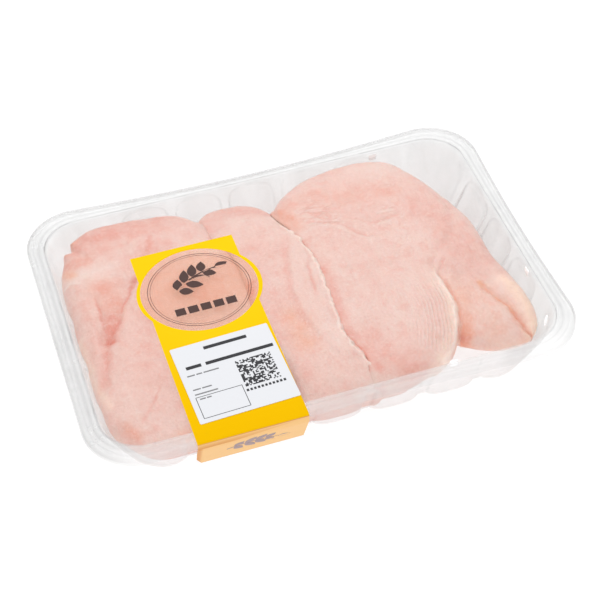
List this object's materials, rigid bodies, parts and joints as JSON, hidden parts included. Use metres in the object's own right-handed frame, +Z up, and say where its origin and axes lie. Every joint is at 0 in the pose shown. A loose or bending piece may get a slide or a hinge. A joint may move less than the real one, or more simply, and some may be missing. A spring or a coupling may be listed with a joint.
{
  "type": "raw chicken breast fillet pack",
  "caption": "Clear fluted tray of raw chicken breast fillets under a clear lid film, with a printed label folded over the front rim.",
  "frame": {"origin": "middle of the tray's base, on the surface that the pack stands on", "axes": "+Z up through the lid film, +X along the tray, +Y from the label's fold at the front rim to the back"},
  "size_m": [0.2599, 0.1848, 0.0394],
  "materials": {
    "clear_tray": "glossy",
    "clear_film": "glossy",
    "label_print": "satin",
    "panel_print": "satin",
    "raw_meat": "moist"
  },
  "bodies": {
    "root": {"tray": "clear_tray", "film": "clear_film", "label": "label_print", "white_panel": "panel_print", "fillet_left": "raw_meat", "fillet_middle": "raw_meat", "fillet_right": "raw_meat"}
  },
  "joints": []
}
